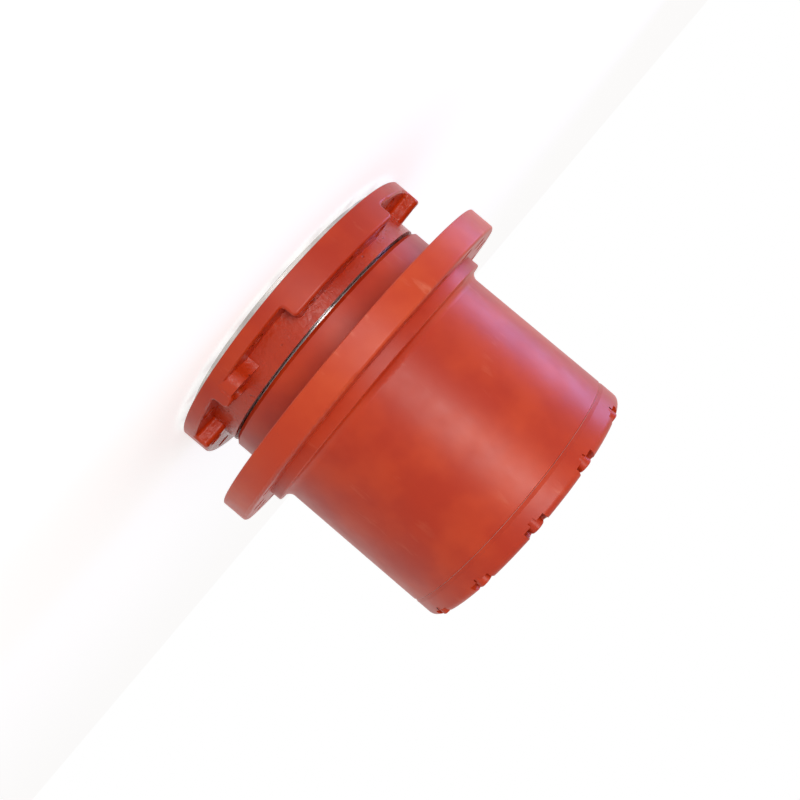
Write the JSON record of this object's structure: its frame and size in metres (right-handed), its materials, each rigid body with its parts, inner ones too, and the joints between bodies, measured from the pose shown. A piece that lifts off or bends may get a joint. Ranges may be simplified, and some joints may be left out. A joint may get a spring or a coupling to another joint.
{
  "type": "excavator final drive",
  "caption": "Two-stage planetary travel gearbox: fixed spindle with a scalloped frame flange, and a turning drum with a sprocket flange and an end cover.",
  "frame": {"origin": "centre of the frame flange's face, on the drive's axis", "axes": "+Z along the axis, from the track frame to the end cover; +X any radius"},
  "size_m": [0.44, 0.44, 0.3613],
  "materials": {
    "painted_casting": "satin red-orange primer",
    "machined_steel": "turned, lightly oiled",
    "gear_steel": "ground and case hardened",
    "black_screw": "black oxide",
    "painted_screw": "primer over the screw heads",
    "bronze": "turned bronze",
    "nitrile": "matt",
    "cast_core": "raw casting, machined faces"
  },
  "bodies": {
    "spindle": {"spindle": "painted_casting", "lower_seal_ring": "machined_steel", "lower_seal_rubber": "nitrile", "lower_inner_race": "machined_steel", "upper_inner_race": "machined_steel", "race_spacer": "machined_steel", "bearing_nut": "machined_steel", "output_carrier": "cast_core", "carrier_screws": "black_screw", "output_planet_pins": "machined_steel", "output_pin_rings": "machined_steel", "output_thrust_washers": "bronze", "stage_thrust_ring": "bronze"},
    "drum": {"drum": "painted_casting", "upper_seal_ring": "machined_steel", "upper_seal_rubber": "nitrile", "lower_outer_race": "machined_steel", "upper_outer_race": "machined_steel", "ring_gear": "gear_steel", "ring_gear_dowels": "machined_steel", "end_cover": "painted_casting", "cover_bolts": "painted_screw", "cover_seal": "nitrile", "thrust_plate": "machined_steel", "plug_washers": "bronze", "plugs": "painted_screw"},
    "bearing_rollers": {"lower_rollers": "machined_steel", "lower_cage": "bronze", "upper_rollers": "machined_steel", "upper_cage": "bronze"},
    "input_sun": {"input_sun_shaft": "gear_steel", "drive_coupling": "gear_steel", "coupling_ring": "machined_steel"},
    "input_carrier": {"input_carrier": "cast_core", "input_planet_pins": "machined_steel", "input_pin_rings": "machined_steel", "input_thrust_washers": "bronze", "output_sun": "gear_steel"},
    "output_planet_1": {"output_planet_1": "gear_steel", "output_planet_1_bush": "bronze"},
    "output_planet_2": {"output_planet_2": "gear_steel", "output_planet_2_bush": "bronze"},
    "output_planet_3": {"output_planet_3": "gear_steel", "output_planet_3_bush": "bronze"},
    "input_planet_1": {"input_planet_1": "gear_steel", "input_planet_1_bush": "bronze"},
    "input_planet_2": {"input_planet_2": "gear_steel", "input_planet_2_bush": "bronze"},
    "input_planet_3": {"input_planet_3": "gear_steel", "input_planet_3_bush": "bronze"}
  },
  "joints": [
    {"name": "drum_spin", "type": "hinge", "parent": "spindle", "child": "drum", "pos_m": [0, 0, 0.1], "axis": [0, 0, 1], "continuous": true},
    {"name": "rollers_spin", "type": "hinge", "parent": "spindle", "child": "bearing_rollers", "pos_m": [0, 0, 0.1], "axis": [0, 0, 1], "continuous": true},
    {"name": "input_carrier_spin", "type": "hinge", "parent": "spindle", "child": "input_carrier", "pos_m": [0, 0, 0.27], "axis": [0, 0, 1], "continuous": true},
    {"name": "input_sun_spin", "type": "hinge", "parent": "spindle", "child": "input_sun", "pos_m": [0, 0, 0.2], "axis": [0, 0, 1], "continuous": true},
    {"name": "output_planet_1_spin", "type": "hinge", "parent": "spindle", "child": "output_planet_1", "pos_m": [0.084, 0, 0.206], "axis": [0, 0, 1], "continuous": true},
    {"name": "output_planet_2_spin", "type": "hinge", "parent": "spindle", "child": "output_planet_2", "pos_m": [-0.042, 0.07275, 0.206], "axis": [0, 0, 1], "continuous": true},
    {"name": "output_planet_3_spin", "type": "hinge", "parent": "spindle", "child": "output_planet_3", "pos_m": [-0.042, -0.07275, 0.206], "axis": [0, 0, 1], "continuous": true},
    {"name": "input_planet_1_spin", "type": "hinge", "parent": "input_carrier", "child": "input_planet_1", "pos_m": [0.07875, 0, 0.278], "axis": [0, 0, 1], "continuous": true},
    {"name": "input_planet_2_spin", "type": "hinge", "parent": "input_carrier", "child": "input_planet_2", "pos_m": [-0.03938, 0.0682, 0.278], "axis": [0, 0, 1], "continuous": true},
    {"name": "input_planet_3_spin", "type": "hinge", "parent": "input_carrier", "child": "input_planet_3", "pos_m": [-0.03938, -0.0682, 0.278], "axis": [0, 0, 1], "continuous": true}
  ],
  "couplings": [
    {"joint": "rollers_spin", "follows": "drum_spin", "ratio": 0.53878},
    {"joint": "input_carrier_spin", "follows": "drum_spin", "ratio": -3.5714},
    {"joint": "input_sun_spin", "follows": "drum_spin", "ratio": -26.429},
    {"joint": "output_planet_1_spin", "follows": "drum_spin", "ratio": 2.7778},
    {"joint": "output_planet_2_spin", "follows": "drum_spin", "ratio": 2.7778},
    {"joint": "output_planet_3_spin", "follows": "drum_spin", "ratio": 2.7778},
    {"joint": "input_planet_1_spin", "follows": "drum_spin", "ratio": 11.429},
    {"joint": "input_planet_2_spin", "follows": "drum_spin", "ratio": 11.429},
    {"joint": "input_planet_3_spin", "follows": "drum_spin", "ratio": 11.429}
  ]
}
